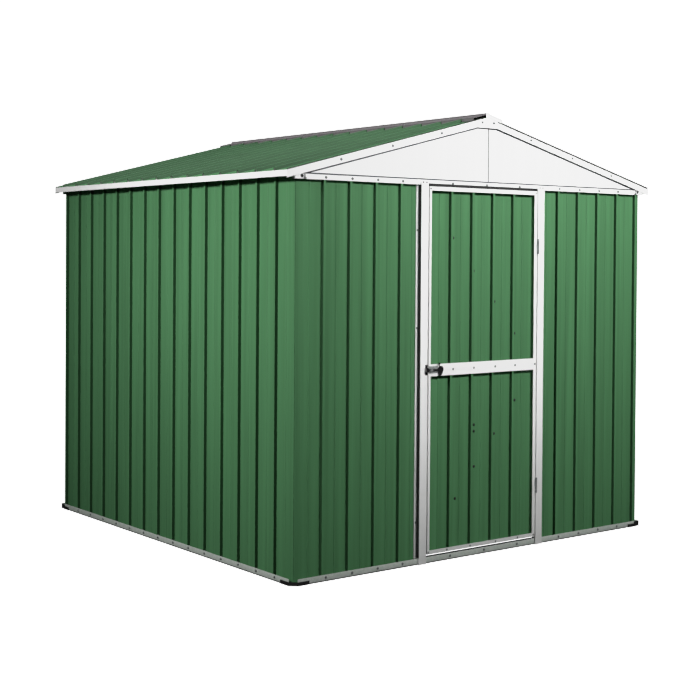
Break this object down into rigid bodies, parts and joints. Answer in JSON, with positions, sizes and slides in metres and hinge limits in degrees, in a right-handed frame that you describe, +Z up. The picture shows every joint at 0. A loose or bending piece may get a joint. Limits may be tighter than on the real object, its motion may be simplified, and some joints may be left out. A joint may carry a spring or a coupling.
{
  "type": "steel garden shed",
  "caption": "Gabled garden shed of ribbed steel sheet in green with white trims, a hinged single door with a sliding bolt, dark ridge cap and black corner feet.",
  "frame": {"origin": "on the ground, midway between the flat faces of opposite walls", "axes": "+Z up; +X to the right along the front wall as seen from outside the door; +Y from the front wall to the back wall"},
  "size_m": [2.3874, 2.2946, 2.1445],
  "materials": {
    "green_sheet": "satin prepainted steel sheet",
    "white_trim": "satin prepainted steel trim",
    "galvanised_rail": "off-white painted rail, greyer low down",
    "galvanised_steel": "bare galvanised steel",
    "dark_grey_cap": "satin dark grey ridge capping",
    "black_plastic": "moulded black plastic",
    "latch_steel": "zinc-plated bolt with a dark handle",
    "latch_plate": "zinc-plated pressed steel"
  },
  "bodies": {
    "shed": {"apex_plate_back": "white_trim", "apex_plate_front": "white_trim", "back_barge_left": "white_trim", "back_barge_right": "white_trim", "back_gable_left": "white_trim", "back_gable_right": "white_trim", "back_wall": "green_sheet", "base_rail_back": "galvanised_rail", "base_rail_front": "galvanised_rail", "base_rail_left": "galvanised_rail", "base_rail_right": "galvanised_rail", "corner_feet_back": "black_plastic", "corner_feet_front": "black_plastic", "door_post_left": "white_trim", "door_post_right": "white_trim", "eave_fascia_left": "white_trim", "eave_fascia_right": "white_trim", "front_barge_left": "white_trim", "front_barge_right": "white_trim", "front_gable_left": "white_trim", "front_gable_right": "white_trim", "front_wall_left": "green_sheet", "front_wall_right": "green_sheet", "hinge_frame_plates": "white_trim", "hinge_pins": "white_trim", "latch_keep": "latch_plate", "left_wall": "green_sheet", "ridge_beam": "galvanised_steel", "ridge_cap": "dark_grey_cap", "right_wall": "green_sheet", "roof_sheet_left": "green_sheet", "roof_sheet_right": "green_sheet", "top_rail_back": "white_trim", "top_rail_front": "white_trim", "top_rail_left": "white_trim", "top_rail_right": "white_trim"},
    "door": {"door_brace_lower": "galvanised_steel", "door_brace_upper": "galvanised_steel", "door_rail_bottom": "white_trim", "door_rail_middle": "white_trim", "door_rail_top": "white_trim", "door_ribbed_sheet": "green_sheet", "door_stile_hinge": "white_trim", "door_stile_latch": "white_trim", "hinge_door_plates": "white_trim", "latch_guide": "latch_plate"},
    "bolt": {"latch_bolt": "latch_steel"}
  },
  "joints": [
    {"name": "door_hinge", "type": "hinge", "parent": "shed", "child": "door", "pos_m": [0.3435, -1.1488, 0.9], "axis": [0, 0, 1], "range_deg": [0, 110]},
    {"name": "bolt_slide", "type": "slide", "parent": "door", "child": "bolt", "axis": [-1, 0, 0], "range_m": [0, 0.03]}
  ]
}
